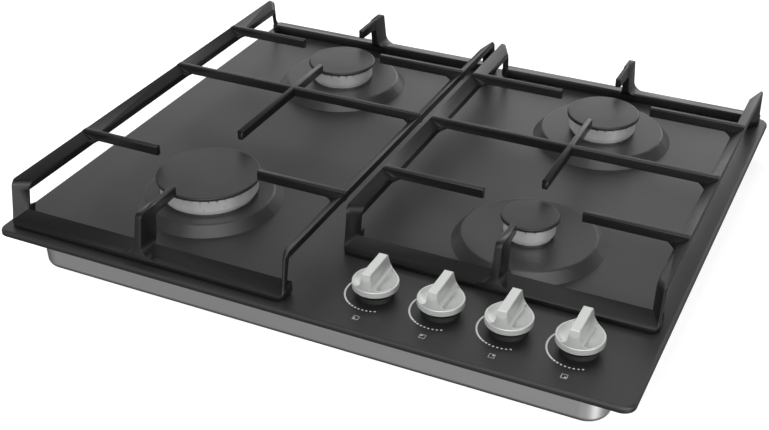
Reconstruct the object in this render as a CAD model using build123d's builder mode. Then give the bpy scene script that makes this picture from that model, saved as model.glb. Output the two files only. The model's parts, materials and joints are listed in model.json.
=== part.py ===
from build123d import *
import os
from math import cos, hypot, radians, sin, tan

os.makedirs("parts", exist_ok=True)

# Built-in gas cooktop, in millimetres. +X is right, -Y is the front, +Z is up.
# z = 0 is the bottom of the case and the origin is the centre of the plan.

# ---- overall sizes ----
plate_top = 45.0
plate_x = 600.0
plate_y = 520.0
plate_corner = 11.0
plate_sheet = 1.2
lip_drop = 5.0
case_x = 552.0
case_y = 482.0
case_corner = 20.0
case_sheet = 0.8
case_draft = 3.0
case_foot_r = 7.0
under = plate_top - plate_sheet

# ---- burners: name, x, y, cap radius ----
burners = (
    ("rear_left", -150.0, 147.0, 36.5),
    ("rear_right", 150.0, 147.0, 36.5),
    ("front_left", -150.0, -130.0, 49.5),
    ("front_right", 150.0, -73.0, 26.5),
)
plateau_base_r = 70.0
plateau_top_r = 61.5
plateau_rise = 9.5
crown_inset = 3.0
crown_low = 12.0
crown_high = 26.0
crown_wall = 4.0
crown_floor = 4.0
cap_thick = 3.4
spigot_inset = 2.5
spigot_fit = 0.5
ledge_z = 1.0
spark_angle = 105.0
probe_angle = 130.0
probe_gap = 4.5

# ---- taps and knobs ----
knob_y = -204.0
knob_first_x = 60.0
knob_pitch = 60.0
knob_r = 20.2
knob_low = 8.5
knob_rim = 5.9
knob_high = 31.0
spindle_r = 3.0
spindle_flat = 2.3
spindle_top = 22.0
spindle_fit = 0.05
bore_fit = 0.02
seat_gap = 0.05
plug_low_r = 4.95
plug_high_r = 5.95
plug_low_z = 12.0
plug_high_z = 28.0
slot_z = 20.0
slot_w = 1.9
tang_z = 24.0
bonnet_z = 32.0
bonnet_thick = 2.0
tap_r = 10.0
port_z = 16.0
port_r = 1.8

# ---- gas supply ----
rail_y = -225.0
rail_z = 14.0
rail_w = 15.0
tube_r = 3.5
tube_wall = 0.8
supply_r = 6.0
inlet_x = 240.0
inlet_z = 14.0
inlet_wall_y = 205.0
inlet_side_x = 214.0
inlet_roof_z = 34.0
thread_r = 10.45
thread_neck = 1.0
thread_length = 24.0
flange_y = 190.0

# ---- pan supports ----
bar_low = 35.0
bar_high = 45.0
bar_w = 5.6
rail_in = 10.5
rail_high = 43.0
rail_fall = 6.5
rail_thick = 6.8
leg_mitre = 16.0
knee_high = 14.0
toe_high = 4.5
front_leg = (7.5, 2.4, 2.6)
rear_leg = (11.0, 8.0, 8.4)
corner_r = 8.0
leg_skin = 0.3
end_rail_deep = 16.0
fin_w = 7.2
web_r = 9.0
foot_in_x = 12.0
foot_in_front = 9.0
foot_in_rear = 8.0
foot_stem_r = 2.5

UP = (Align.CENTER, Align.CENTER, Align.MIN)
DOWN = (Align.CENTER, Align.CENTER, Align.MAX)


def knob_x(index):
    return knob_first_x + knob_pitch * index


def polar(x, y, r, angle):
    return (x + r * cos(radians(angle)), y + r * sin(radians(angle)))


def disc(x, y, z, r, height):
    with Locations((x, y, z)):
        Cylinder(r, height, align=UP)


def bore(x, y, z, r, height):
    with Locations((x, y, z)):
        Cylinder(r, height, align=UP, mode=Mode.SUBTRACT)


def block(x0, x1, y0, y1, z0, z1, mode=Mode.ADD):
    with Locations(((x0 + x1) / 2, (y0 + y1) / 2, (z0 + z1) / 2)):
        Box(x1 - x0, y1 - y0, z1 - z0, mode=mode)


# ---- top plate: pressed sheet, lip down all round, a raised plateau per burner ----
def plate_form(grow, shift, edge_r):
    with BuildPart() as form:
        with BuildSketch(Plane.XY.offset(plate_top - lip_drop)):
            RectangleRounded(plate_x + 2 * grow, plate_y + 2 * grow, plate_corner + grow)
        extrude(amount=lip_drop + shift)
        fillet(form.faces().sort_by(Axis.Z)[-1].edges(), edge_r)
        for label, x, y, r in burners:
            with Locations((x, y, plate_top + shift - 0.5)):
                Cone(
                    plateau_base_r + 0.5 * (plateau_base_r - plateau_top_r) / plateau_rise,
                    plateau_top_r,
                    plateau_rise + 0.5,
                    align=UP,
                )
        top_z = plate_top + shift + plateau_rise
        rims = form.edges().filter_by(GeomType.CIRCLE)
        fillet(rims.filter_by_position(Axis.Z, top_z - 0.1, top_z + 0.1), 2.5)
    return form.part


plate_outer = plate_form(0.0, 0.0, 3.0)
plate_inner = plate_form(-plate_sheet, -plate_sheet, 1.8)

with BuildPart() as top_plate:
    add(plate_outer)
    add(plate_inner, mode=Mode.SUBTRACT)
    for label, x, y, r in burners:
        crown_r = r - crown_inset
        bore(x, y, plate_top, crown_r - spigot_inset + spigot_fit, 20)
        for angle in (spark_angle, probe_angle):
            px, py = polar(x, y, crown_r + probe_gap, angle)
            bore(px, py, plate_top, 3.4, 20)
    for index in range(4):
        bore(knob_x(index), knob_y, plate_top - 5, 5.0, 10)
top_plate.part.label = "top_plate"
export_step(top_plate.part, "parts/top_plate.step")


# ---- bottom case: open tray with drafted walls and a corner recess for the gas inlet ----
def tray_form(inset, floor_z):
    draw_in = (under - floor_z) * tan(radians(case_draft))
    with BuildPart() as form:
        with BuildSketch(Plane.XY.offset(floor_z)):
            RectangleRounded(
                case_x - 2 * inset - 2 * draw_in, case_y - 2 * inset - 2 * draw_in, case_corner - inset
            )
        extrude(amount=under - floor_z, taper=-case_draft)
        fillet(form.faces().sort_by(Axis.Z)[0].edges(), case_foot_r - inset)
        block(
            inlet_side_x - inset, case_x, inlet_wall_y - inset, case_y,
            -10, inlet_roof_z + inset, Mode.SUBTRACT,
        )
    return form.part


clamp_x = 240.0
clamp_y = 200.0
tray_outer = tray_form(0.0, 0.0)
tray_inner = tray_form(case_sheet, case_sheet)

with BuildPart() as bottom_case:
    add(tray_outer)
    add(tray_inner, mode=Mode.SUBTRACT)
    for x in (-clamp_x, clamp_x):
        for y in (-clamp_y, clamp_y - 40):
            bore(x, y, -1, 2.1, 3)
    for x in range(-90, 100, 30):
        with BuildSketch(Plane.XY.offset(-1)):
            with Locations((x, 20)):
                SlotOverall(40, 4, rotation=90)
        extrude(amount=3, mode=Mode.SUBTRACT)
    with BuildSketch(Plane.XZ.offset(-(inlet_wall_y - 3))):
        with Locations((inlet_x, inlet_z)):
            Circle(thread_r + 0.3)
    extrude(amount=-6, mode=Mode.SUBTRACT)
    with BuildSketch(Plane.XZ.offset(-(case_y / 2 - 8))):
        with Locations((-200, 20)):
            Circle(7.0)
    extrude(amount=-12, mode=Mode.SUBTRACT)
bottom_case.part.label = "bottom_case"
export_step(bottom_case.part, "parts/bottom_case.step")

# ---- foam seal under the plate edge ----
with BuildPart() as plate_seal:
    with BuildSketch(Plane.XY.offset(plate_top - lip_drop)):
        RectangleRounded(592, 512, 9)
        RectangleRounded(568, 488, 5, mode=Mode.SUBTRACT)
    extrude(amount=lip_drop - plate_sheet)
plate_seal.part.label = "plate_seal"
export_step(plate_seal.part, "parts/plate_seal.step")


# ---- burner crown, cap and cup ----
def crown_sizes(cap_r):
    crown_r = cap_r - crown_inset
    spigot_r = crown_r - spigot_inset
    return crown_r, spigot_r


def burner_crown(x, y, cap_r):
    crown_r, spigot_r = crown_sizes(cap_r)
    low = plate_top + crown_low
    high = plate_top + crown_high
    with BuildPart() as crown:
        disc(x, y, low, crown_r, crown_high - crown_low)
        fillet(crown.edges().filter_by(GeomType.CIRCLE).group_by(Axis.Z)[0], 1.5)
        bore(x, y, low + crown_floor, crown_r - crown_wall, 40)
        disc(x, y, plate_top + ledge_z, spigot_r, crown_low - ledge_z + 1)
        bore(x, y, plate_top, spigot_r - 2.5, crown_low)
        disc(x, y, plate_top - 8, 9, crown_low + 8 + 6)
        bore(x, y, plate_top - 9, 6, 40)
        ports = int(crown_r * 0.8)
        with Locations((x, y, high - 3)):
            with PolarLocations(crown_r - crown_wall / 2, ports):
                Box(crown_wall + 3, 1.3, 3, align=UP, mode=Mode.SUBTRACT)
    return crown.part


def burner_cap(x, y, cap_r):
    base = plate_top + crown_high
    lug_r = cap_r - crown_inset - crown_wall - 0.5
    with BuildPart() as cap:
        with BuildSketch(Plane.XZ):
            with BuildLine():
                Polyline(
                    (0, base),
                    (cap_r - 0.6, base),
                    (cap_r, base + 0.6),
                    (cap_r, base + cap_thick - 1.6),
                )
                ThreePointArc(
                    (cap_r, base + cap_thick - 1.6),
                    (cap_r - 0.5, base + cap_thick - 0.65),
                    (cap_r - 1.6, base + cap_thick - 0.2),
                )
                Polyline(
                    (cap_r - 1.6, base + cap_thick - 0.2),
                    (cap_r * 0.5, base + cap_thick),
                    (0, base + cap_thick),
                    (0, base),
                )
            make_face()
        revolve(axis=Axis.Z)
        with Locations((0, 0, base)):
            with PolarLocations(lug_r - 1.5, 4, start_angle=45):
                Box(3, 6, 3, align=DOWN)
    return cap.part.moved(Location((x, y, 0)))


def burner_cup(x, y, cap_r, arm_angle):
    crown_r, spigot_r = crown_sizes(cap_r)
    hole_r = spigot_r + spigot_fit
    bowl_r = min(spigot_r - 3, 26)
    flange_top = plate_top + plateau_rise - plate_sheet
    floor_z = 8.0
    with BuildPart() as cup:
        disc(x, y, flange_top - 2, hole_r + 8.5, 2)
        disc(x, y, plate_top + ledge_z - 2, hole_r + 2, flange_top - plate_top - ledge_z + 2)
        bore(x, y, plate_top + ledge_z, hole_r, 20)
        disc(x, y, floor_z, bowl_r + 2, plate_top + ledge_z - 2 - floor_z)
        bore(x, y, floor_z + 2, bowl_r, 60)
        disc(x, y, floor_z, 7, port_z + 5 - floor_z)
        arm = bowl_r + 8
        with BuildSketch(Plane(origin=(x, y, port_z), z_dir=polar(0, 0, 1, arm_angle) + (0,))):
            Circle(4.6)
        extrude(amount=arm)
        with BuildSketch(Plane(origin=(x, y, port_z), z_dir=polar(0, 0, 1, arm_angle) + (0,))):
            Circle(2.0)
        extrude(amount=arm + 1, mode=Mode.SUBTRACT)
        bore(x, y, port_z, 3.0, 20)
        for angle in (spark_angle, probe_angle):
            px, py = polar(x, y, crown_r + probe_gap, angle)
            bore(px, py, plate_top, 3.4, 20)
        with Locations((x, y, 0)):
            with PolarLocations(hole_r + 5, 2, start_angle=-15):
                Cylinder(1.25, 200, mode=Mode.SUBTRACT)
    return cup.part


arm_angles = {"rear_left": 0.0, "rear_right": -90.0, "front_left": 0.0, "front_right": 0.0}

for label, x, y, r in burners:
    crown = burner_crown(x, y, r)
    crown.label = "burner_crown_" + label
    export_step(crown, "parts/burner_crown_" + label + ".step")
    cap = burner_cap(x, y, r)
    cap.label = "burner_cap_" + label
    export_step(cap, "parts/burner_cap_" + label + ".step")
    cup = burner_cup(x, y, r, arm_angles[label])
    cup.label = "burner_cup_" + label
    export_step(cup, "parts/burner_cup_" + label + ".step")

# ---- screws from the plateau into each cup, two per burner ----
with BuildPart() as cup_screws:
    for label, x, y, r in burners:
        hole_r = crown_sizes(r)[1] + spigot_fit
        for angle in (-15, 165):
            sx, sy = polar(x, y, hole_r + 5, angle)
            disc(sx, sy, plate_top + plateau_rise - plate_sheet - 5, 1.2, 3)
            disc(sx, sy, plate_top + plateau_rise - plate_sheet - 4, 3.0, 2)
cup_screws.part.label = "cup_screws"
export_step(cup_screws.part, "parts/cup_screws.step")

# ---- injector in the middle of each cup ----
with BuildPart() as injectors:
    for label, x, y, r in burners:
        disc(x, y, port_z + 2.5, 2.95, 2.5)
        with BuildSketch(Plane.XY.offset(port_z + 5)):
            with Locations((x, y)):
                RegularPolygon(4.5, 6)
        extrude(amount=5)
        bore(x, y, port_z, 0.5, 20)
injectors.part.label = "injectors"
export_step(injectors.part, "parts/injectors.step")

# ---- spark electrodes and thermocouples beside each crown ----
with BuildPart() as electrode_insulators:
    for label, x, y, r in burners:
        px, py = polar(x, y, r - crown_inset + probe_gap, spark_angle)
        disc(px, py, plate_top - 8, 2.9, 22)
        disc(px, py, plate_top + 2, 4.2, plateau_rise - plate_sheet - 4.0)
        bore(px, py, plate_top - 9, 0.8, 40)
electrode_insulators.part.label = "electrode_insulators"
export_step(electrode_insulators.part, "parts/electrode_insulators.step")

with BuildPart() as electrode_tips:
    for label, x, y, r in burners:
        px, py = polar(x, y, r - crown_inset + probe_gap, spark_angle)
        disc(px, py, plate_top - 11, 0.8, 33)
electrode_tips.part.label = "electrode_tips"
export_step(electrode_tips.part, "parts/electrode_tips.step")

with BuildPart() as thermocouples:
    for label, x, y, r in burners:
        px, py = polar(x, y, r - crown_inset + probe_gap, probe_angle)
        disc(px, py, plate_top - 6, 1.6, 27)
        disc(px, py, plate_top + 1, 4.2, plateau_rise - plate_sheet - 3.0)
thermocouples.part.label = "thermocouples"
export_step(thermocouples.part, "parts/thermocouples.step")

# ---- gas rail with its brackets ----
with BuildPart() as gas_rail:
    with BuildSketch(Plane.YZ.offset(40)):
        with Locations((rail_y, rail_z)):
            RectangleRounded(rail_w, rail_w, 2)
    extrude(amount=210)
    with BuildSketch(Plane.YZ.offset(42)):
        with Locations((rail_y, rail_z)):
            RectangleRounded(rail_w - 3, rail_w - 3, 1)
    extrude(amount=206, mode=Mode.SUBTRACT)
    with BuildSketch(Plane.YZ.offset(246)):
        with Locations((rail_y, rail_z)):
            Circle(supply_r - 1)
    extrude(amount=10, mode=Mode.SUBTRACT)
    for index in range(4):
        with BuildSketch(Plane.XZ.offset(-(rail_y + 4))):
            with Locations((knob_x(index), 9)):
                Circle(1.8)
        extrude(amount=-6, mode=Mode.SUBTRACT)
gas_rail.part.label = "gas_rail"
export_step(gas_rail.part, "parts/gas_rail.step")

with BuildPart() as rail_brackets:
    for x in (90, 210):
        block(x - 8, x + 8, rail_y - 5, rail_y + 5, case_sheet, rail_z - rail_w / 2)
        block(x - 8, x + 8, rail_y - 5, rail_y + 12, case_sheet, case_sheet + 1.5)
rail_brackets.part.label = "rail_brackets"
export_step(rail_brackets.part, "parts/rail_brackets.step")


# ---- taps: body, plug, spindle, spring, bonnet, switch ----
def tap_body(x):
    slope = (plug_high_r - plug_low_r) / (plug_high_z - plug_low_z)
    with BuildPart() as body:
        disc(x, knob_y, 4, tap_r, bonnet_z - 4)
        with BuildSketch(Plane.XY.offset(bonnet_z - 4)):
            with Locations((x, knob_y)):
                RectangleRounded(26, 20, 3)
        extrude(amount=4)
        with BuildSketch(Plane.XZ.offset(-(rail_y + rail_w / 2))):
            with Locations((x, 10)):
                Rectangle(14, 12)
        extrude(amount=-14)
        with BuildSketch(Plane.XZ.offset(-knob_y)):
            with Locations((x, port_z)):
                Circle(4.5)
        extrude(amount=-16)
        bore(x, knob_y, 6, 4.0, 20)
        with Locations((x, knob_y, plug_low_z - 0.01)):
            Cone(
                plug_low_r + seat_gap, plug_high_r + seat_gap + slope * 0.01,
                plug_high_z - plug_low_z + 0.02, align=UP, mode=Mode.SUBTRACT,
            )
        bore(x, knob_y, plug_high_z, plug_high_r + seat_gap, 10)
        with BuildSketch(Plane.XZ.offset(-(rail_y + rail_w / 2))):
            with Locations((x, 9)):
                Circle(1.8)
        extrude(amount=-18, mode=Mode.SUBTRACT)
        with BuildSketch(Plane.XZ.offset(-knob_y)):
            with Locations((x, port_z)):
                Circle(port_r)
        extrude(amount=-20, mode=Mode.SUBTRACT)
    return body.part


def valve_plug(x):
    with BuildPart() as plug:
        with Locations((x, knob_y, plug_low_z)):
            Cone(plug_low_r, plug_high_r, plug_high_z - plug_low_z, align=UP)
        bore(x, knob_y, plug_low_z - 1, 3.0, slot_z - plug_low_z - 0.5)
        block(
            x - slot_w / 2, x + slot_w / 2, knob_y - 10, knob_y + 10,
            slot_z, plug_high_z + 1, Mode.SUBTRACT,
        )
        with BuildSketch(Plane.YZ.offset(x)):
            with Locations((knob_y, port_z)):
                Circle(port_r - 0.2)
        extrude(amount=10, mode=Mode.SUBTRACT)
    return plug.part


def tap_spindle(x):
    top = plate_top + spindle_top
    flat_z = plate_top + 7
    with BuildPart() as spindle:
        disc(x, knob_y, bonnet_z - 0.3, spindle_r, top - bonnet_z + 0.3)
        chamfer(spindle.edges().filter_by(GeomType.CIRCLE).sort_by(Axis.Z)[-1], 0.5)
        disc(x, knob_y, 41.5, 4.2, 1.0)
        block(
            x + spindle_flat, x + 10, knob_y - 10, knob_y + 10,
            flat_z, top + 1, Mode.SUBTRACT,
        )
        block(x - 0.85, x + 0.85, knob_y - 2.5, knob_y + 2.5, tang_z, bonnet_z)
    return spindle.part


def tap_spring(x):
    wire = 0.4
    low = bonnet_z + bonnet_thick + wire
    tall = 41.5 - bonnet_z - bonnet_thick - 2 * wire
    coil_r = 3.9
    with BuildPart() as spring:
        with BuildLine():
            path = Helix(pitch=tall / 4, height=tall, radius=coil_r, center=(x, knob_y, low))
        with BuildSketch(Plane(origin=path @ 0, z_dir=path % 0)):
            Circle(wire)
        sweep(path=path, is_frenet=True)
    return spring.part


for index in range(4):
    number = str(index + 1)
    x = knob_x(index)
    body = tap_body(x)
    body.label = "tap_body_" + number
    export_step(body, "parts/tap_body_" + number + ".step")
    plug = valve_plug(x)
    plug.label = "valve_plug_" + number
    export_step(plug, "parts/valve_plug_" + number + ".step")
    spindle = tap_spindle(x)
    spindle.label = "tap_spindle_" + number
    export_step(spindle, "parts/tap_spindle_" + number + ".step")
    spring = tap_spring(x)
    spring.label = "tap_spring_" + number
    export_step(spring, "parts/tap_spring_" + number + ".step")

with BuildPart() as tap_bonnets:
    for index in range(4):
        x = knob_x(index)
        with BuildSketch(Plane.XY.offset(bonnet_z)):
            with Locations((x, knob_y)):
                RectangleRounded(26, 20, 3)
                Circle(spindle_r + spindle_fit, mode=Mode.SUBTRACT)
        extrude(amount=bonnet_thick)
tap_bonnets.part.label = "tap_bonnets"
export_step(tap_bonnets.part, "parts/tap_bonnets.step")

with BuildPart() as tap_screws:
    for index in range(4):
        for side in (-9.5, 9.5):
            disc(knob_x(index) + side, knob_y - 6, bonnet_z + bonnet_thick, 2.3, 1.8)
tap_screws.part.label = "tap_screws"
export_step(tap_screws.part, "parts/tap_screws.step")

with BuildPart() as ignition_switches:
    for index in range(4):
        x = knob_x(index)
        z = bonnet_z + bonnet_thick
        block(x - 6, x + 6, knob_y + 5.5, knob_y + 12.5, z, z + 6)
        block(x - 2, x + 2, knob_y + 4.8, knob_y + 5.5, z + 3, z + 5)
ignition_switches.part.label = "ignition_switches"
export_step(ignition_switches.part, "parts/ignition_switches.step")

# ---- collar around each spindle on the plate ----
with BuildPart() as knob_collars:
    for index in range(4):
        x = knob_x(index)
        with BuildSketch(Plane.XY.offset(plate_top)):
            with Locations((x, knob_y)):
                Circle(16.5)
        extrude(amount=4, taper=8)
        bore(x, knob_y, plate_top - 1, spindle_r + spindle_fit, 10)
knob_collars.part.label = "knob_collars"
export_step(knob_collars.part, "parts/knob_collars.step")

# ---- knob: round base with a dished half-moon on each side of a tapered blade ----
blade_front = -18.6
blade_back = 16.0
ridge_x = 7.4
low = plate_top + knob_low
rim = low + knob_rim
high = plate_top + knob_high

with BuildPart() as blade_cross:
    with BuildSketch(Plane.XZ.offset(-30)) as cross_face:
        with BuildLine():
            Polyline(
                (-19.0, rim - 3.5), (-19.0, rim - 0.6), (-5.3, rim + 1.2), (-4.1, high), (4.1, high),
                (5.3, rim + 1.2), (19.0, rim - 0.6), (19.0, rim - 3.5), (-19.0, rim - 3.5),
            )
        make_face()
        for side in (-1, 1):
            corner = cross_face.vertices().sort_by_distance((side * 5.3, rim + 1.2))[0]
            fillet(corner, 9.0)
    extrude(amount=60)

with BuildPart() as knob_blade:
    with BuildSketch(Plane.YZ.offset(-22)):
        with BuildLine():
            Polyline(
                (-21.6, low + 1), (-21.2, rim - 0.5), (blade_front, high), (blade_back, high),
                (20.6, rim - 0.5), (21.4, low + 1), (-21.6, low + 1),
            )
        make_face()
    extrude(amount=44)
    add(blade_cross.part, mode=Mode.INTERSECT)
    with Locations((0, 0, low)):
        Cone(knob_r - 0.3, knob_r - 0.6, high - low, align=UP, mode=Mode.INTERSECT)
    fillet(knob_blade.faces().sort_by(Axis.Z)[-1].edges(), 0.9)

with BuildPart() as knob_scoops:
    with BuildSketch(Plane.XZ):
        with BuildLine():
            ThreePointArc((knob_r - 1.5, rim), (12.6, rim - 2.9), (6.0, rim - 2.2))
            Polyline((6.0, rim - 2.2), (4.0, rim + 8), (knob_r - 1.5, rim + 8), (knob_r - 1.5, rim))
        make_face()
    revolve(axis=Axis.Z)
    block(-ridge_x, ridge_x, -30, 30, low, high, Mode.SUBTRACT)

with BuildPart() as knob_master:
    with BuildSketch(Plane.XZ):
        with BuildLine():
            Polyline((0, low), (knob_r - 0.5, low), (knob_r, low + 0.6), (knob_r, rim - 0.9))
            ThreePointArc((knob_r, rim - 0.9), (knob_r - 0.26, rim - 0.26), (knob_r - 0.9, rim))
            Polyline((knob_r - 0.9, rim), (0, rim), (0, low))
        make_face()
    revolve(axis=Axis.Z)
    add(knob_blade.part)
    add(knob_scoops.part, mode=Mode.SUBTRACT)
    disc(0, 0, plate_top + 8, 5.5, knob_low - 8 + 3)
    with BuildSketch(Plane.XY.offset(low - 0.01)):
        Circle(knob_r - 3)
        Circle(5.5, mode=Mode.SUBTRACT)
    extrude(amount=1.6, mode=Mode.SUBTRACT)
    with BuildSketch(Plane.XY.offset(plate_top + 7)):
        with Locations((0, 0)):
            Circle(spindle_r + bore_fit)
        with Locations((spindle_flat + bore_fit + 5, 0)):
            Rectangle(10, 20, mode=Mode.SUBTRACT)
    extrude(amount=spindle_top - 7 + 0.5, mode=Mode.SUBTRACT)

for index in range(4):
    number = str(index + 1)
    knob = knob_master.part.moved(Location((knob_x(index), knob_y, 0)))
    knob.label = "knob_" + number
    export_step(knob, "parts/knob_" + number + ".step")


# ---- gas tubes from each tap to its burner ----
def cup_arm(x, y, cap_r, angle):
    reach = min(crown_sizes(cap_r)[1] - 3, 26) + 8
    return polar(x, y, reach, angle)


tap_out_y = knob_y + 16
ends = {label: cup_arm(x, y, r, arm_angles[label]) for label, x, y, r in burners}
tube_routes = {
    "front_left": (
        (knob_x(0), tap_out_y),
        (knob_x(0), ends["front_left"][1]),
        ends["front_left"],
    ),
    "rear_left": (
        (knob_x(1), tap_out_y),
        (knob_x(1), -160),
        (88, -128),
        (88, 0),
        (20, 70),
        (20, ends["rear_left"][1]),
        ends["rear_left"],
    ),
    "rear_right": (
        (knob_x(2), tap_out_y),
        (knob_x(2), -160),
        (116, -118),
        (116, 30),
        (150, 70),
        ends["rear_right"],
    ),
    "front_right": (
        (knob_x(3), tap_out_y),
        (knob_x(3), ends["front_right"][1]),
        ends["front_right"],
    ),
}


def gas_tube(route):
    points = [(px, py, port_z) for px, py in route]
    with BuildPart() as tube:
        with BuildLine() as path:
            FilletPolyline(*points, radius=12)
        with BuildSketch(Plane(origin=path.line @ 0, z_dir=path.line % 0)):
            Circle(tube_r)
            Circle(tube_r - tube_wall, mode=Mode.SUBTRACT)
        sweep()
    return tube.part


for label, route in tube_routes.items():
    tube = gas_tube(route)
    tube.label = "gas_tube_" + label
    export_step(tube, "parts/gas_tube_" + label + ".step")

# ---- union nut at both ends of each tube ----
with BuildPart() as tube_nuts:
    for route in tube_routes.values():
        for tip, near in ((route[0], route[1]), (route[-1], route[-2])):
            ax = near[0] - tip[0]
            ay = near[1] - tip[1]
            size = hypot(ax, ay)
            with BuildSketch(Plane(origin=(tip[0], tip[1], port_z), z_dir=(ax / size, ay / size, 0))):
                RegularPolygon(6.2, 6)
                Circle(tube_r, mode=Mode.SUBTRACT)
            extrude(amount=8)
tube_nuts.part.label = "tube_nuts"
export_step(tube_nuts.part, "parts/tube_nuts.step")

# ---- supply pipe along the right side, and the threaded inlet in the corner recess ----
with BuildPart() as supply_pipe:
    with BuildLine() as supply_path:
        FilletPolyline(
            (250, rail_y, rail_z),
            (262, rail_y, rail_z),
            (262, 150, rail_z),
            (inlet_x, 180, inlet_z),
            (inlet_x, 190, inlet_z),
            radius=9,
        )
    with BuildSketch(Plane(origin=supply_path.line @ 0, z_dir=supply_path.line % 0)):
        Circle(supply_r)
        Circle(supply_r - 1, mode=Mode.SUBTRACT)
    sweep()
supply_pipe.part.label = "supply_pipe"
export_step(supply_pipe.part, "parts/supply_pipe.step")

with BuildPart() as gas_inlet:
    # flange inside the case, a plain neck through its wall, then the thread
    for r, y_from, y_to in (
        (13, flange_y, inlet_wall_y - case_sheet),
        (thread_r - 0.6, flange_y, inlet_wall_y + thread_neck),
        (thread_r, inlet_wall_y + thread_neck, inlet_wall_y + thread_neck + thread_length),
    ):
        with BuildSketch(Plane.XZ.offset(-y_from)):
            with Locations((inlet_x, inlet_z)):
                Circle(r)
        extrude(amount=y_from - y_to)
    chamfer(gas_inlet.faces().sort_by(Axis.Y)[-1].edges(), 1)
    with BuildSketch(Plane.XZ.offset(1 - flange_y)):
        with Locations((inlet_x, inlet_z)):
            Circle(supply_r - 1)
    extrude(amount=-50, mode=Mode.SUBTRACT)
gas_inlet.part.label = "gas_inlet"
export_step(gas_inlet.part, "parts/gas_inlet.step")

# ---- spark generator, its leads and the mains gland ----
lead_z = 34.0
lead_r = 1.25

with BuildPart() as spark_generator:
    block(-32, 32, 178, 222, case_sheet, 26)
    fillet(spark_generator.edges().filter_by(Axis.Z), 3)
    for x in (-24, -8, 8, 24):
        disc(x, 190, 26, 3, lead_z - 2 * lead_r - 26)
spark_generator.part.label = "spark_generator"
export_step(spark_generator.part, "parts/spark_generator.step")

electrode_at = {
    label: polar(x, y, r - crown_inset + probe_gap, spark_angle) for label, x, y, r in burners
}
lead_routes = (
    ((-24, 190), (-140, 190), electrode_at["rear_left"]),
    ((24, 190), (120, 190), electrode_at["rear_right"]),
    ((-8, 190), (-8, electrode_at["front_left"][1]), electrode_at["front_left"]),
    ((8, 190), (8, electrode_at["front_right"][1]), electrode_at["front_right"]),
)
with BuildPart() as ignition_leads:
    for route in lead_routes:
        with BuildLine(mode=Mode.PRIVATE) as lead_path:
            FilletPolyline(*[(px, py, lead_z - lead_r) for px, py in route], radius=6)
        with BuildSketch(Plane(origin=lead_path.line @ 0, z_dir=lead_path.line % 0)):
            Circle(lead_r)
        sweep(path=lead_path.line)
ignition_leads.part.label = "ignition_leads"
export_step(ignition_leads.part, "parts/ignition_leads.step")

with BuildPart() as mains_gland:
    gland_y = case_y / 2 - (under - 20) * tan(radians(case_draft))
    with BuildSketch(Plane.XZ.offset(-(gland_y - 14))):
        with Locations((-200, 20)):
            Circle(6.9)
    extrude(amount=-15)
    with BuildSketch(Plane.XZ.offset(-(gland_y - 14))):
        with Locations((-200, 20)):
            Circle(9.5)
    extrude(amount=-11.8)
    with BuildSketch(Plane.XZ.offset(-(gland_y - 15))):
        with Locations((-200, 20)):
            Circle(3.5)
    extrude(amount=-20, mode=Mode.SUBTRACT)
mains_gland.part.label = "mains_gland"
export_step(mains_gland.part, "parts/mains_gland.step")


# ---- pan supports: one casting each, and their rubber feet ----
def height(h):
    return plate_top + h


def corner_leg(x_out, side, y_out, inward, top_in, knee_in, flare):
    # Bent strip seen from the side, swept along the mitre from the outer to the inner corner.
    def at(v, h):
        return (y_out + inward * v, height(h))

    with BuildPart() as leg:
        with BuildSketch(Plane.YZ.offset(x_out)) as face:
            with BuildLine():
                Polyline(
                    at(top_in + 26, rail_high), at(top_in, rail_high), at(knee_in, knee_high),
                    at(knee_in - flare, toe_high), at(knee_in - flare, -2), at(knee_in + 5.8, -2),
                    at(knee_in + rail_thick, knee_high), at(top_in + 7.5, rail_high - rail_thick),
                    at(top_in + 26, rail_high - rail_thick), at(top_in + 26, rail_high),
                )
            make_face()
            for spot, radius in (
                (at(top_in, rail_high), 8.0),
                (at(top_in + 7.5, rail_high - rail_thick), 2.0),
                (at(knee_in, knee_high), 8.0),
            ):
                fillet(face.vertices().sort_by_distance(spot)[0], radius)
        run = Vector(side * rail_in, inward * leg_mitre, -rail_fall)
        extrude(amount=run.length, dir=run.normalized())
        # The inner edge of the strip is cut square to its face.
        lean = (top_in - knee_in) / (rail_high - knee_high)
        edge_v = knee_in + lean * rail_fall + leg_mitre
        x_in = x_out + side * rail_in
        square = hypot(rail_in, leg_mitre)
        across_x = leg_mitre / square
        across_v = rail_in / square
        with BuildSketch(Plane.XY.offset(height(knee_high))):
            with BuildLine():
                Polyline(
                    (x_in, y_out + inward * edge_v),
                    (x_in + side, y_out + inward * edge_v),
                    (x_in + side, y_out + inward * (edge_v + 9)),
                    (x_in - side * 5 * across_x, y_out + inward * (edge_v + 9)),
                    (x_in - side * 5 * across_x, y_out + inward * (edge_v + 5 * across_v)),
                    (x_in, y_out + inward * edge_v),
                )
            make_face()
        rise = rail_high - rail_fall - rail_thick - knee_high
        climb = Vector(0, inward * lean * rise, rise)
        extrude(amount=climb.length, dir=climb.normalized(), mode=Mode.SUBTRACT)
    return leg.part


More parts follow.
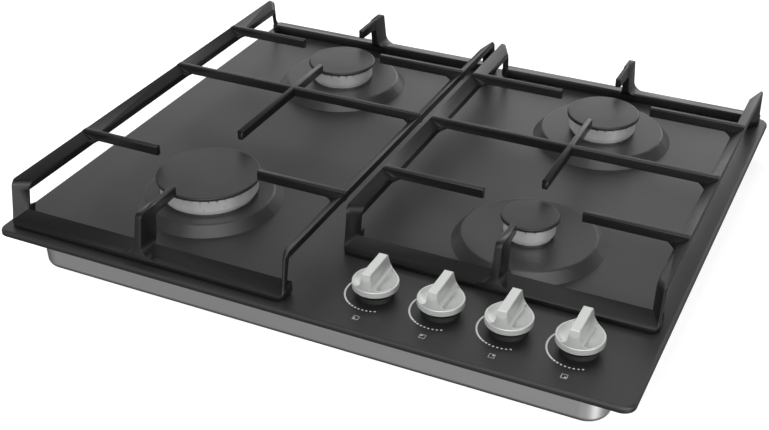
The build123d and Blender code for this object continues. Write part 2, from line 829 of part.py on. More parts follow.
def post_fin(x, y_out, inward, tip_in, lean):
    def at(v, h):
        return (y_out + inward * v, height(h))

    with BuildPart() as cross:
        with BuildSketch(Plane.XZ.offset(-(y_out + inward * 15) - 20)) as face:
            with BuildLine():
                Polyline(
                    (x - 16, height(1)), (x - 16, height(6.5)), (x - fin_w / 2, height(6.5)),
                    (x - fin_w / 2 + 0.5, height(bar_high)), (x + fin_w / 2 - 0.5, height(bar_high)),
                    (x + fin_w / 2, height(6.5)), (x + 16, height(6.5)), (x + 16, height(1)),
                    (x - 16, height(1)),
                )
            make_face()
            for side in (-1, 1):
                fillet(face.vertices().sort_by_distance((x + side * fin_w / 2, height(6.5)))[0], 11.0)
        extrude(amount=40)
    with BuildPart() as fin:
        with BuildSketch(Plane.YZ.offset(x - 20)) as side_face:
            with BuildLine():
                Polyline(
                    at(0, 1), at(0.4, 8), at(lean, bar_high), at(30, bar_high), at(29, bar_low - 0.5),
                    at(26, 15), at(17, 7), at(16, 1), at(0, 1),
                )
            make_face()
            for spot, radius in ((at(lean, bar_high), 5.0), (at(26, 15), 6.0)):
                fillet(side_face.vertices().sort_by_distance(spot)[0], radius)
        extrude(amount=40)
        add(cross.part, mode=Mode.INTERSECT)
    with BuildPart() as finger:
        with BuildSketch(Plane.YZ.offset(x - bar_w / 2)) as finger_face:
            with BuildLine():
                Polyline(
                    at(lean + 6, bar_high), at(tip_in, bar_high), at(tip_in, bar_low + 0.8),
                    at(32, bar_low), at(22, 26), at(lean + 6, bar_high),
                )
            make_face()
            fillet(finger_face.vertices().sort_by_distance(at(32, bar_low))[0], 6.0)
            fillet(finger_face.vertices().sort_by_distance(at(tip_in, bar_high))[0], 1.2)
        extrude(amount=bar_w)
        fillet(finger.faces().sort_by(Axis.Z)[-1].edges().filter_by(Axis.Y), 1.2)
    return fin.part, finger.part


def bar_along_x(x_a, x_b, y):
    with BuildPart() as bar:
        with BuildSketch(Plane.YZ.offset(x_a)):
            with Locations((y, height((bar_low + bar_high) / 2))):
                RectangleRounded(bar_w, bar_high - bar_low, 1.4)
        extrude(amount=x_b - x_a)
    return bar.part


def bar_along_y(y_a, y_b, x):
    with BuildPart() as bar:
        with BuildSketch(Plane.XZ.offset(-y_b)):
            with Locations((x, height((bar_low + bar_high) / 2))):
                RectangleRounded(bar_w, bar_high - bar_low, 1.4)
        extrude(amount=y_b - y_a)
    return bar.part


def bar_web(x_out, side, y):
    # Gusset under a bar where it meets the side rail, hollowed by a round on both sides.
    edge_x = x_out + side * (rail_in - 0.5)
    tip_x = edge_x + side * web_r
    half = bar_w / 2 - 0.5 + web_r
    with BuildPart() as web:
        with BuildSketch(Plane.XZ.offset(-(y + half))):
            with BuildLine():
                Polyline(
                    (edge_x, height(rail_high - rail_fall - rail_thick + 0.4)),
                    (tip_x, height(bar_low + 0.5)),
                    (tip_x, height(bar_low + 1.6)),
                    (edge_x, height(rail_high - rail_fall + 0.1)),
                    (edge_x, height(rail_high - rail_fall - rail_thick + 0.4)),
                )
            make_face()
        extrude(amount=2 * half)
        for turn in (-1, 1):
            bore(tip_x, y + turn * half, plate_top, web_r, bar_high)
    return web.part


def pan_support(x0, x1, y0, y1, x_mid, spine, cross_y, side_fingers, tips):
    rear_fin, rear_finger = post_fin(x_mid, y1, -1, y1 - tips[1], 6.5)
    front_fin, front_finger = post_fin(x_mid, y0, 1, tips[0] - y0, 7.5)
    sides = ((x0, 1), (x1, -1))
    bars_y = [cross_y] + [row[0] for row in side_fingers]
    legs = [
        corner_leg(x_out, side, y_out, inward, *leg)
        for x_out, side in sides
        for y_out, inward, leg in ((y0, 1, front_leg), (y1, -1, rear_leg))
    ]
    webs = [bar_web(x_out, side, y) for x_out, side in sides for y in bars_y]
    with BuildPart() as outline:
        with BuildSketch(Plane.XY.offset(height(1))):
            with Locations(((x0 + x1) / 2, (y0 + y1) / 2)):
                RectangleRounded(x1 - x0, y1 - y0, corner_r)
        extrude(amount=bar_high - 1)
    # The same rounded outline drawn in with the lean of the legs, so that their corners are round too.
    with BuildPart() as leaning_outline:
        for h, front_in, rear_in in (
            (1, 0, 0), (toe_high, 0, 0), (knee_high, front_leg[1] - leg_skin, rear_leg[1] - leg_skin),
            (bar_high, front_leg[0] - leg_skin, rear_leg[0] - leg_skin),
        ):
            with BuildSketch(Plane.XY.offset(height(h))):
                with Locations(((x0 + x1) / 2, (y0 + front_in + y1 - rear_in) / 2)):
                    RectangleRounded(x1 - x0, y1 - rear_in - y0 - front_in, corner_r)
        loft(ruled=True)
    with BuildPart() as roof:
        with BuildSketch(Plane.XZ.offset(-y1 - 5)):
            with Locations(((x0 + x1) / 2, height(bar_high) - 40)):
                RectangleRounded(x1 - x0, 80, 3.6)
        extrude(amount=y1 - y0 + 10)
    with BuildPart() as side_frames:
        for x_out, side in sides:
            with BuildSketch(Plane.XZ.offset(-(y1 - 34))):
                with BuildLine():
                    Polyline(
                        (x_out, height(rail_high - rail_thick)),
                        (x_out, height(rail_high)),
                        (x_out + side * rail_in, height(rail_high - rail_fall)),
                        (x_out + side * rail_in, height(rail_high - rail_fall - rail_thick)),
                        (x_out, height(rail_high - rail_thick)),
                    )
                make_face()
            extrude(amount=y1 - y0 - 62)
        for leg in legs:
            add(leg)
        add(leaning_outline.part, mode=Mode.INTERSECT)
    with BuildPart() as frame:
        with BuildSketch(Plane.YZ.offset(x0)):
            with BuildLine():
                Polyline(
                    (y1, height(1)), (y1, height(6.4)), (y1 - 1.2, height(7.2)),
                    (y1 - end_rail_deep + 1.2, height(9.2)), (y1 - end_rail_deep, height(8.4)),
                    (y1 - end_rail_deep, height(1)), (y1, height(1)),
                )
            make_face()
            with BuildLine():
                Polyline(
                    (y0, height(1)), (y0, height(4.4)), (y0 + 1.2, height(5.0)),
                    (y0 + 17.4, height(11.5)), (y0 + 18, height(10.9)), (y0 + 18, height(1)), (y0, height(1)),
                )
            make_face()
        extrude(amount=x1 - x0)
        for piece in webs + [side_frames.part, rear_fin, front_fin, rear_finger, front_finger]:
            add(piece)
        add(bar_along_x(x0, x1, cross_y))
        add(bar_along_y(spine[0], spine[1], x_mid))
        for y, left_tip, right_tip in side_fingers:
            add(bar_along_x(x0, left_tip, y))
            add(bar_along_x(right_tip, x1, y))
        add(outline.part, mode=Mode.INTERSECT)
        add(roof.part, mode=Mode.INTERSECT)
        for fx in (x0 + foot_in_x, x1 - foot_in_x):
            for fy in (y0 + foot_in_front, y1 - foot_in_rear):
                bore(fx, fy, height(0), foot_stem_r, 3.5)
    return frame.part


def support_feet(x0, x1, y0, y1):
    with BuildPart() as feet:
        for fx in (x0 + foot_in_x, x1 - foot_in_x):
            for fy in (y0 + foot_in_front, y1 - foot_in_rear):
                disc(fx, fy, height(0), 4.5, 1.0)
                disc(fx, fy, height(0.5), foot_stem_r, 3.0)
    return feet.part


left_box = (-292.0, -5.0, -250.0, 256.5)
right_box = (5.0, 292.0, -161.0, 256.5)
cross_bar_y = 37.0

left_support = pan_support(
    *left_box, -150.0, (-71.0, 97.0), cross_bar_y,
    ((147.0, -196.0, -102.0), (-130.0, -205.0, -95.0)), (-187.0, 195.0),
)
left_support.label = "left_pan_support"
export_step(left_support, "parts/left_pan_support.step")

right_support = pan_support(
    *right_box, 150.0, (-36.0, 97.0), cross_bar_y,
    ((147.0, 105.0, 198.0), (-73.0, 105.0, 198.0)), (-118.0, 195.0),
)
right_support.label = "right_pan_support"
export_step(right_support, "parts/right_pan_support.step")

left_feet = support_feet(*left_box)
left_feet.label = "left_support_feet"
export_step(left_feet, "parts/left_support_feet.step")

right_feet = support_feet(*right_box)
right_feet.label = "right_support_feet"
export_step(right_feet, "parts/right_support_feet.step")
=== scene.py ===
import json
import math

import bmesh
import bpy
from mathutils import Matrix, Vector


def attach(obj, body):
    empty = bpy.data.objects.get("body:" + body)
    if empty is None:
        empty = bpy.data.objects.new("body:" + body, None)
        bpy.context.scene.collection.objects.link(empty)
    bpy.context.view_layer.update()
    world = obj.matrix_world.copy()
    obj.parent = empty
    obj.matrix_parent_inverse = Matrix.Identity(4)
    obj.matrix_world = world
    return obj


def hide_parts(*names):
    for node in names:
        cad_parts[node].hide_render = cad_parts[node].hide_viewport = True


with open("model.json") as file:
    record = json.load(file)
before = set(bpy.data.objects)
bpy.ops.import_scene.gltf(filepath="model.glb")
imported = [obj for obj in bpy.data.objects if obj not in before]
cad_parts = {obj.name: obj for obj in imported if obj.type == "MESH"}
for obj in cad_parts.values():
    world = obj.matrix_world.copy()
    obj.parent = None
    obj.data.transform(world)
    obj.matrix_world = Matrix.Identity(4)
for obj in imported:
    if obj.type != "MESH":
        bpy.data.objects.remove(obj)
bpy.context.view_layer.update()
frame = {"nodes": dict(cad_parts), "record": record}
nodes = frame["nodes"]
print("stage: frame loaded")

plateTop = 0.045
knobPitch, knobLine = 0.060, -0.204
knobSpots = [(knobPitch * (index + 1), knobLine) for index in range(4)]


# small helpers for node trees
def newMaterial(name):
    material = bpy.data.materials.new(name)
    material.use_nodes = True
    material.node_tree.nodes.clear()
    return material, material.node_tree


def addNode(tree, kind, inputs=None, **settings):
    node = tree.nodes.new(kind)
    for key, value in settings.items():
        setattr(node, key, value)
    for key, value in (inputs or {}).items():
        if isinstance(value, bpy.types.NodeSocket):
            tree.links.new(value, node.inputs[key])
        else:
            node.inputs[key].default_value = value
    return node


def mixColour(tree, factor, first, second, blend="MIX"):
    node = addNode(tree, "ShaderNodeMix", data_type="RGBA", blend_type=blend)
    for socket, value in ((node.inputs[0], factor), (node.inputs[6], first), (node.inputs[7], second)):
        if isinstance(value, bpy.types.NodeSocket):
            tree.links.new(value, socket)
        elif isinstance(value, (int, float)):
            socket.default_value = value
        else:
            socket.default_value = (*value, 1.0)
    return node.outputs[2]


def spread(tree, value, low, high, fromLow=0.0, fromHigh=1.0):
    node = addNode(tree, "ShaderNodeMapRange", {
        "Value": value, "From Min": fromLow, "From Max": fromHigh, "To Min": low, "To Max": high,
    })
    return node.outputs["Result"]


def objectCoordinates(tree, scale=(1.0, 1.0, 1.0), rotation=(0.0, 0.0, 0.0), location=(0.0, 0.0, 0.0)):
    coordinates = addNode(tree, "ShaderNodeTexCoord")
    mapping = addNode(tree, "ShaderNodeMapping", {
        "Vector": coordinates.outputs["Object"], "Scale": scale, "Rotation": rotation, "Location": location,
    })
    return mapping.outputs["Vector"]


def product(tree, first, second):
    return addNode(tree, "ShaderNodeMath", {0: first, 1: second}, operation="MULTIPLY").outputs[0]


def valueRamp(tree, value, stops, low, high, blend):
    # a curve of grey values through the stops, between low and high
    ramp = addNode(tree, "ShaderNodeValToRGB", {"Fac": spread(tree, value, 0.0, 1.0, low, high)})
    ramp.color_ramp.interpolation = blend
    while len(ramp.color_ramp.elements) < len(stops):
        ramp.color_ramp.elements.new(0.5)
    for element, (stop, bright) in zip(ramp.color_ramp.elements, stops):
        element.position = (stop - low) / (high - low)
        element.color = (bright, bright, bright, 1.0)
    return ramp.outputs["Color"]


def addSockets(group, inputs, outputs=()):
    # inputs are name, kind and default; outputs are names of plain values
    for name, kind, value in inputs:
        socket = group.interface.new_socket(name=name, in_out="INPUT", socket_type=kind)
        if value is not None:
            socket.default_value = value
    for name in outputs:
        group.interface.new_socket(name=name, in_out="OUTPUT", socket_type="NodeSocketFloat")


def finishMaterial(tree, principled):
    output = addNode(tree, "ShaderNodeOutputMaterial")
    tree.links.new(principled.outputs["BSDF"], output.inputs["Surface"])


# effects that several finishes share
def grainGroup():
    # fine speckle of an enamel or a casting: a height, a mask and a slow cloud over it
    group = bpy.data.node_groups.new("enamelGrain", "ShaderNodeTree")
    addSockets(group, (
        ("Vector", "NodeSocketVector", None), ("Grain Size", "NodeSocketFloat", 1400.0),
        ("Cloud Size", "NodeSocketFloat", 9.0), ("Roughness", "NodeSocketFloat", 0.6),
    ), ("Height", "Speckle", "Cloud"))
    start = group.nodes.new("NodeGroupInput")
    fine = addNode(group, "ShaderNodeTexNoise", {
        "Vector": start.outputs["Vector"], "Scale": start.outputs["Grain Size"], "Detail": 3.0,
        "Roughness": start.outputs["Roughness"],
    })
    pits = addNode(group, "ShaderNodeTexVoronoi", {
        "Vector": start.outputs["Vector"], "Scale": start.outputs["Grain Size"],
    }, feature="SMOOTH_F1")
    cloud = addNode(group, "ShaderNodeTexNoise", {
        "Vector": start.outputs["Vector"], "Scale": start.outputs["Cloud Size"], "Detail": 4.0,
    })
    height = addNode(group, "ShaderNodeMath", {
        0: fine.outputs["Fac"], 1: pits.outputs["Distance"],
    }, operation="ADD")
    speckle = spread(group, fine.outputs["Fac"], 0.0, 1.0, 0.58, 0.75)
    end = group.nodes.new("NodeGroupOutput")
    group.links.new(height.outputs[0], end.inputs["Height"])
    group.links.new(speckle, end.inputs["Speckle"])
    group.links.new(cloud.outputs["Fac"], end.inputs["Cloud"])
    return group


def brushGroup():
    # long fine lines left by rolling, turning or brushing a metal
    group = bpy.data.node_groups.new("brushedLines", "ShaderNodeTree")
    addSockets(group, (
        ("Vector", "NodeSocketVector", None), ("Line Size", "NodeSocketFloat", 300.0),
        ("Stain Size", "NodeSocketFloat", 14.0),
    ), ("Lines", "Stain"))
    start = group.nodes.new("NodeGroupInput")
    lines = addNode(group, "ShaderNodeTexNoise", {
        "Vector": start.outputs["Vector"], "Scale": start.outputs["Line Size"], "Detail": 5.0, "Roughness": 0.7,
    })
    stain = addNode(group, "ShaderNodeTexNoise", {
        "Vector": start.outputs["Vector"], "Scale": start.outputs["Stain Size"], "Detail": 3.0,
    })
    end = group.nodes.new("NodeGroupOutput")
    group.links.new(lines.outputs["Fac"], end.inputs["Lines"])
    group.links.new(stain.outputs["Fac"], end.inputs["Stain"])
    return group


enamelGrain = grainGroup()
brushedLines = brushGroup()


def enamelMaterial(name, look):
    material, tree = newMaterial(name)
    grain = addNode(tree, "ShaderNodeGroup", node_tree=enamelGrain)
    tree.links.new(objectCoordinates(tree), grain.inputs["Vector"])
    grain.inputs["Grain Size"].default_value = look["grainSize"]
    grain.inputs["Cloud Size"].default_value = look["cloudSize"]
    clouded = mixColour(tree, grain.outputs["Cloud"], look["dark"], look["light"])
    speckled = mixColour(tree, grain.outputs["Speckle"], clouded, look["speckle"])
    bump = addNode(tree, "ShaderNodeBump", {
        "Height": grain.outputs["Height"], "Strength": look["bumpStrength"], "Distance": look["bumpDepth"],
    })
    principled = addNode(tree, "ShaderNodeBsdfPrincipled", {
        "Base Color": speckled,
        "Roughness": spread(tree, grain.outputs["Cloud"], *look["roughness"], 0.3, 0.7),
        "Normal": bump.outputs["Normal"],
    })
    # painted shade: faces that look up are given less gloss, so they render darker than the sides, which keep
    # their gloss
    surface = addNode(tree, "ShaderNodeNewGeometry")
    facing = addNode(tree, "ShaderNodeSeparateXYZ", {"Vector": surface.outputs["Normal"]})
    gloss = spread(tree, facing.outputs["Z"], look["specular"], look["specularTop"], 0.35, 0.85)
    tree.links.new(gloss, principled.inputs["Specular IOR Level"])
    finishMaterial(tree, principled)
    return material


def metalMaterial(name, look):
    material, tree = newMaterial(name)
    brush = addNode(tree, "ShaderNodeGroup", node_tree=brushedLines)
    tree.links.new(objectCoordinates(tree, scale=look["stretch"]), brush.inputs["Vector"])
    brush.inputs["Line Size"].default_value = look["lineSize"]
    brush.inputs["Stain Size"].default_value = look["stainSize"]
    lined = mixColour(tree, brush.outputs["Lines"], look["dark"], look["light"])
    stainShare = spread(tree, brush.outputs["Stain"], 0.0, look["stain"], 0.45, 0.75)
    stained = mixColour(tree, stainShare, lined, look["stainColour"])
    bump = addNode(tree, "ShaderNodeBump", {
        "Height": brush.outputs["Lines"], "Strength": look["bumpStrength"], "Distance": look["bumpDepth"],
    })
    principled = addNode(tree, "ShaderNodeBsdfPrincipled", {
        "Base Color": stained,
        "Roughness": spread(tree, brush.outputs["Lines"], *look["roughness"], 0.3, 0.7),
        "Normal": bump.outputs["Normal"],
    })
    principled.inputs["Metallic"].default_value = look["metallic"]
    finishMaterial(tree, principled)
    return material


def plasticMaterial(name, look):
    material, tree = newMaterial(name)
    grain = addNode(tree, "ShaderNodeGroup", node_tree=enamelGrain)
    tree.links.new(objectCoordinates(tree), grain.inputs["Vector"])
    grain.inputs["Grain Size"].default_value = look["grainSize"]
    bump = addNode(tree, "ShaderNodeBump", {
        "Height": grain.outputs["Height"], "Strength": look["bumpStrength"], "Distance": look["bumpDepth"],
    })
    principled = addNode(tree, "ShaderNodeBsdfPrincipled", {
        "Base Color": mixColour(tree, grain.outputs["Cloud"], look["dark"], look["light"]),
        "Roughness": spread(tree, grain.outputs["Height"], *look["roughness"], 0.5, 1.3),
        "Normal": bump.outputs["Normal"],
    })
    principled.inputs["Metallic"].default_value = look["metallic"]
    finishMaterial(tree, principled)
    return material


plateLook = {
    "dark": (0.0075, 0.0075, 0.0078), "light": (0.0110, 0.0110, 0.0114), "speckle": (0.026, 0.026, 0.027),
    "grainSize": 1500.0, "cloudSize": 7.0, "roughness": (0.46, 0.38), "bumpStrength": 0.22,
    "bumpDepth": 0.00006, "specular": 0.5, "specularTop": 0.5,
}
# the castings' lower gloss on up-facing faces is painted shade that darkens their tops
castLook = {
    "dark": (0.0050, 0.0050, 0.0053), "light": (0.0080, 0.0080, 0.0084), "speckle": (0.020, 0.020, 0.021),
    "grainSize": 900.0, "cloudSize": 30.0, "roughness": (0.36, 0.28), "bumpStrength": 0.32,
    "bumpDepth": 0.00014, "specular": 0.50, "specularTop": 0.20,
}
capLook = {
    "dark": (0.0058, 0.0058, 0.0061), "light": (0.0088, 0.0088, 0.0092), "speckle": (0.026, 0.026, 0.027),
    "grainSize": 1300.0, "cloudSize": 24.0, "roughness": (0.46, 0.36), "bumpStrength": 0.30,
    "bumpDepth": 0.00009, "specular": 0.36, "specularTop": 0.36,
}
crownLook = {
    "dark": (0.69, 0.69, 0.69), "light": (0.84, 0.84, 0.835), "stainColour": (0.50, 0.49, 0.48), "stain": 0.30,
    "stretch": (1.0, 1.0, 0.30), "lineSize": 420.0, "stainSize": 60.0, "roughness": (0.31, 0.27),
    "bumpStrength": 0.03, "bumpDepth": 0.00004, "metallic": 0.55,
}
caseLook = {
    "dark": (0.75, 0.755, 0.76), "light": (0.85, 0.855, 0.86), "stainColour": (0.68, 0.69, 0.69), "stain": 0.25,
    "stretch": (0.04, 0.04, 1.0), "lineSize": 420.0, "stainSize": 6.0, "roughness": (0.42, 0.34),
    "bumpStrength": 0.10, "bumpDepth": 0.00005, "metallic": 1.0,
}
steelLook = dict(caseLook, stretch=(1.0, 0.1, 1.0), lineSize=600.0, roughness=(0.40, 0.28))
tubeLook = dict(crownLook, dark=(0.55, 0.55, 0.56), light=(0.72, 0.72, 0.73), stretch=(1.0, 1.0, 0.2))
brassLook = dict(crownLook, dark=(0.50, 0.34, 0.12), light=(0.72, 0.52, 0.22), stainColour=(0.25, 0.16, 0.07),
                 roughness=(0.38, 0.26))
knobLook = {
    "dark": (0.50, 0.515, 0.497), "light": (0.56, 0.573, 0.555), "grainSize": 2600.0, "roughness": (0.30, 0.40),
    "bumpStrength": 0.12, "bumpDepth": 0.00004, "metallic": 0.35,
}
# the collar's colour is painted shade: near black and darker than plain black plastic, for the shade under each
# knob
collarShadeLook = dict(knobLook, dark=(0.004, 0.004, 0.004), light=(0.007, 0.007, 0.007), metallic=0.0,
                  roughness=(0.55, 0.70))
darkPlasticLook = dict(knobLook, dark=(0.030, 0.030, 0.032), light=(0.045, 0.045, 0.048), metallic=0.0,
                       roughness=(0.48, 0.62))
rubberLook = dict(darkPlasticLook, dark=(0.016, 0.016, 0.016), light=(0.026, 0.026, 0.026),
                  roughness=(0.7, 0.85))
foamLook = dict(rubberLook, dark=(0.030, 0.030, 0.030), light=(0.050, 0.050, 0.050), bumpStrength=0.6,
                bumpDepth=0.0003, grainSize=700.0)
leadLook = dict(rubberLook, dark=(0.30, 0.030, 0.022), light=(0.40, 0.045, 0.030), roughness=(0.45, 0.6))
insulatorLook = dict(knobLook, dark=(0.72, 0.69, 0.62), light=(0.80, 0.78, 0.72), metallic=0.0,
                     roughness=(0.18, 0.28))
printLook = dict(knobLook, dark=(0.42, 0.42, 0.42), light=(0.50, 0.50, 0.50), metallic=0.0,
                 roughness=(0.5, 0.6))

plateEnamel = enamelMaterial("plateEnamel", plateLook)
castEnamel = enamelMaterial("castEnamel", castLook)
capEnamel = enamelMaterial("capEnamel", capLook)
crownAluminium = metalMaterial("crownAluminium", crownLook)
caseSteel = metalMaterial("caseSteel", caseLook)
plainSteel = metalMaterial("plainSteel", steelLook)
tubeAluminium = metalMaterial("tubeAluminium", tubeLook)
tapBrass = metalMaterial("tapBrass", brassLook)
knobPlastic = plasticMaterial("knobPlastic", knobLook)
collarShadePlastic = plasticMaterial("collarShadePlastic", collarShadeLook)
darkPlastic = plasticMaterial("darkPlastic", darkPlasticLook)
footRubber = plasticMaterial("footRubber", rubberLook)
sealFoam = plasticMaterial("sealFoam", foamLook)
leadRubber = plasticMaterial("leadRubber", leadLook)
insulatorWhite = plasticMaterial("insulatorWhite", insulatorLook)
dialPaint = plasticMaterial("dialPaint", printLook)

finishBySlot = {
    "plate_enamel": plateEnamel, "case_steel": caseSteel, "cast_enamel": castEnamel, "cap_enamel": capEnamel,
    "burner_aluminium": crownAluminium, "foot_rubber": footRubber, "seal_foam": sealFoam,
    "knob_plastic": knobPlastic, "collar_plastic": collarShadePlastic, "tap_brass": tapBrass,
    "plain_steel": plainSteel, "tube_aluminium": tubeAluminium, "dark_plastic": darkPlastic,
    "lead_rubber": leadRubber, "insulator_white": insulatorWhite,
}
slotOfNode = {entry["node"]: entry["material_slot"] for entry in frame["record"]["subparts"]}
for name, node in nodes.items():
    node.data.materials.clear()
    node.data.materials.append(finishBySlot[slotOfNode[name]])
print("stage: finishes on the frame")


# pan supports: the castings get their soft poured edges
castingSoftness = {
    "edge": 0.0011, "segments": 2, "angle": 32.0, "weld": 0.00002, "flatAngle": 1.5,
    "tip": 0.0021, "tipSteps": 4, "tipsAbove": 0.0345, "tipRise": 0.004, "tipLean": 0.0003, "tipTurn": 1.2,
    "rearCorner": 0.0036, "frontCorner": 0.0014, "cornerFacing": (0.35, 0.62, 0.70),
}


def isTipEdge(edge):
    # upright corner at the free end of a finger
    low, high = sorted(edge.verts, key=lambda vert: vert.co.z)
    rise = high.co - low.co
    if low.co.z < plateTop + castingSoftness["tipsAbove"] or rise.z < castingSoftness["tipRise"]:
        return False
    if len(edge.link_faces) != 2 or rise.xy.length >= castingSoftness["tipLean"]:
        return False
    return edge.is_convex and edge.calc_face_angle(0.0) > castingSoftness["tipTurn"]


def bluntCorner(shape, sideways, backwards, depth):
    # takes the point off a frame's top corner, where the rail bends down into its leg
    aside, back, up = castingSoftness["cornerFacing"]
    outward = Vector((aside * sideways, back * backwards, up)).normalized()
    reach = max(vert.co.dot(outward) for vert in shape.verts)
    cut = bmesh.ops.bisect_plane(shape, geom=shape.verts[:] + shape.edges[:] + shape.faces[:], dist=0.000001,
                                 plane_co=outward * (reach - depth), plane_no=outward, clear_outer=True)
    rim = [item for item in cut["geom_cut"] if isinstance(item, bmesh.types.BMEdge)]
    bmesh.ops.edgeloop_fill(shape, edges=rim)


def softCasting(nodeName, body):
    source = nodes[nodeName]
    mesh = source.data.copy()
    mesh.transform(source.matrix_world)
    shape = bmesh.new()
    shape.from_mesh(mesh)
    bmesh.ops.remove_doubles(shape, verts=shape.verts, dist=castingSoftness["weld"])
    bmesh.ops.dissolve_limit(shape, angle_limit=math.radians(castingSoftness["flatAngle"]),
                             verts=shape.verts, edges=shape.edges)
    for sideways in (-1, 1):
        bluntCorner(shape, sideways, 1, castingSoftness["rearCorner"])
        bluntCorner(shape, sideways, -1, castingSoftness["frontCorner"])
    tips = [edge for edge in shape.edges if isTipEdge(edge)]
    bmesh.ops.bevel(shape, geom=tips, offset=castingSoftness["tip"], segments=castingSoftness["tipSteps"],
                    profile=0.5, affect="EDGES", clamp_overlap=True)
    print("finger tips rounded:", nodeName, len(tips))
    shape.to_mesh(mesh)
    shape.free()
    casting = bpy.data.objects.new(nodeName + "_casting", mesh)
    bpy.context.scene.collection.objects.link(casting)
    bevel = casting.modifiers.new("pouredEdges", "BEVEL")
    bevel.width = castingSoftness["edge"]
    bevel.segments = castingSoftness["segments"]
    bevel.limit_method = "ANGLE"
    bevel.angle_limit = math.radians(castingSoftness["angle"])
    mesh.materials.clear()
    mesh.materials.append(castEnamel)
    for polygon in mesh.polygons:
        polygon.use_smooth = True
    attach(casting, body)
    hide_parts(nodeName)


softCasting("left_pan_support", "left_support")
softCasting("right_pan_support", "right_support")
print("stage: castings")


# print on the plate: a scale round each knob and a burner picture in front of it
dialPrint = {
    "radius": 0.0262, "lift": 0.00004, "thick": 0.00003, "width": 0.0017, "endWidth": 0.75,
    "startAngle": 152.0, "endAngle": 294.0, "dashes": 19,
    "fadeStart": 0.50, "fadeEnd": 0.72, "fullDash": 1.08, "shortDash": 0.46,
    "pictureGap": 0.038, "pictureSize": 0.0024, "lineWidth": 0.0005, "dotSize": 0.0008, "dotPlace": 0.42,
}


def geometryTree(name, inputs):
    tree = bpy.data.node_groups.new(name, "GeometryNodeTree")
    addSockets(tree, (("Geometry", "NodeSocketGeometry", None), *inputs))
    tree.interface.new_socket(name="Geometry", in_out="OUTPUT", socket_type="NodeSocketGeometry")
    return tree, tree.nodes.new("NodeGroupInput"), tree.nodes.new("NodeGroupOutput")


def dashRingTree():
    # dashes set round part of a circle, long ones that run together first and short ones at the end
    tree, start, end = geometryTree("dashRing", (
        ("Radius", "NodeSocketFloat", 0.026), ("Start Angle", "NodeSocketFloat", 2.6),
        ("Sweep Angle", "NodeSocketFloat", 2.4), ("Count", "NodeSocketInt", 30),
        ("Width", "NodeSocketFloat", 0.001), ("Thick", "NodeSocketFloat", 0.00003),
        ("Material", "NodeSocketMaterial", None),
    ))
    points = addNode(tree, "GeometryNodePoints", {"Count": start.outputs["Count"]})
    index = addNode(tree, "GeometryNodeInputIndex")
    last = addNode(tree, "ShaderNodeMath", {0: start.outputs["Count"], 1: 1.0}, operation="SUBTRACT")
    part = addNode(tree, "ShaderNodeMath", {0: index.outputs[0], 1: last.outputs[0]}, operation="DIVIDE")
    turn = addNode(tree, "ShaderNodeMath", {0: part.outputs[0], 1: start.outputs["Sweep Angle"],
                                            2: start.outputs["Start Angle"]}, operation="MULTIPLY_ADD")
    across = addNode(tree, "ShaderNodeMath", {0: turn.outputs[0]}, operation="COSINE")
    along = addNode(tree, "ShaderNodeMath", {0: turn.outputs[0]}, operation="SINE")
    place = addNode(tree, "ShaderNodeCombineXYZ", {
        "X": product(tree, across.outputs[0], start.outputs["Radius"]),
        "Y": product(tree, along.outputs[0], start.outputs["Radius"]),
    })
    placed = addNode(tree, "GeometryNodeSetPosition", {
        "Geometry": points.outputs[0], "Position": place.outputs[0],
    })
    angles = addNode(tree, "ShaderNodeCombineXYZ", {"Z": turn.outputs[0]})
    spacing = addNode(tree, "ShaderNodeMath", {
        0: start.outputs["Sweep Angle"], 1: last.outputs[0],
    }, operation="DIVIDE")
    size = addNode(tree, "ShaderNodeCombineXYZ", {
        "X": start.outputs["Width"], "Y": product(tree, spacing.outputs[0], start.outputs["Radius"]),
        "Z": start.outputs["Thick"],
    })
    dash = addNode(tree, "GeometryNodeMeshCube", {"Size": size.outputs[0]})
    narrow = spread(tree, part.outputs[0], 1.0, dialPrint["endWidth"])
    fade = spread(tree, part.outputs[0], dialPrint["fullDash"], dialPrint["shortDash"],
                  dialPrint["fadeStart"], dialPrint["fadeEnd"])
    scale = addNode(tree, "ShaderNodeCombineXYZ", {"X": narrow, "Y": fade, "Z": 1.0})
    dashes = addNode(tree, "GeometryNodeInstanceOnPoints", {
        "Points": placed.outputs[0], "Instance": dash.outputs["Mesh"], "Rotation": angles.outputs[0],
        "Scale": scale.outputs[0],
    })
    real = addNode(tree, "GeometryNodeRealizeInstances", {"Geometry": dashes.outputs[0]})
    painted = addNode(tree, "GeometryNodeSetMaterial", {
        "Geometry": real.outputs[0], "Material": start.outputs["Material"],
    })
    tree.links.new(painted.outputs[0], end.inputs[0])
    return tree


def bakeTree(tree, name, values, place):
    # what the tree makes, as a mesh of its own at the place
    holder = bpy.data.objects.new(name + "Holder", bpy.data.meshes.new(name + "Holder"))
    bpy.context.scene.collection.objects.link(holder)
    modifier = holder.modifiers.new("tree", "NODES")
    modifier.node_group = tree
    for item in tree.interface.items_tree:
        if item.in_out == "INPUT" and item.name in values:
            modifier[item.identifier] = values[item.name]
    bpy.context.view_layer.update()
    evaluated = holder.evaluated_get(bpy.context.evaluated_depsgraph_get())
    mesh = bpy.data.meshes.new_from_object(evaluated)
    mesh.name = name
    mesh.transform(Matrix.Translation(place))
    holder.modifiers.remove(modifier)
    bpy.data.objects.remove(holder)
    piece = bpy.data.objects.new(name, mesh)
    bpy.context.scene.collection.objects.link(piece)
    return piece


ringTree = dashRingTree()
for index, (knobX, knobY) in enumerate(knobSpots):
    scalePiece = bakeTree(ringTree, f"dial_scale_{index + 1}", {
        "Radius": dialPrint["radius"], "Start Angle": math.radians(dialPrint["startAngle"]),
        "Sweep Angle": math.radians(dialPrint["endAngle"] - dialPrint["startAngle"]),
        "Count": dialPrint["dashes"], "Width": dialPrint["width"], "Thick": dialPrint["thick"],
        "Material": dialPaint,
    }, Vector((knobX, knobY, plateTop + dialPrint["lift"])))
    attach(scalePiece, "hob")


